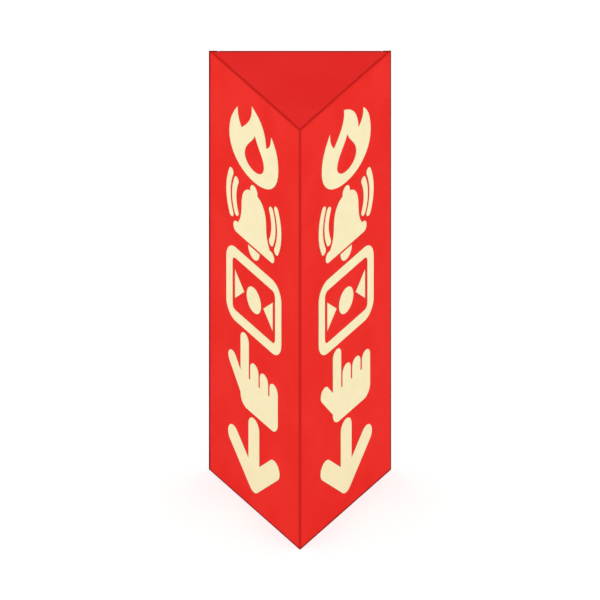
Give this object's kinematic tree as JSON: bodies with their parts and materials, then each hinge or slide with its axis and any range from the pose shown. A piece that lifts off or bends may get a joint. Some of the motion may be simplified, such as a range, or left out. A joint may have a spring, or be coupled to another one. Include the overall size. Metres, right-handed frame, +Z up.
{
  "type": "triangular fire alarm sign",
  "caption": "Wall sign for a fire alarm: a closed triangular prism folded from rigid plastic sheet, with luminous pictograms on its front faces and foam tape on its back.",
  "frame": {"origin": "middle of the base: half the width, and half the depth from the wall to the front fold", "axes": "+X to the right for someone who faces the wall, +Y into the wall, +Z up along the folds"},
  "size_m": [0.09, 0.079, 0.24],
  "materials": {
    "red_sheet": "satin",
    "seam_tape": "satin",
    "foam_tape": "matte",
    "luminous_ink": "matte"
  },
  "bodies": {
    "root": {"folded_sheet": "red_sheet", "seam_tape": "seam_tape", "left_wall_tape": "foam_tape", "right_wall_tape": "foam_tape", "left_face_ink": "luminous_ink", "right_face_ink": "luminous_ink"}
  },
  "joints": []
}
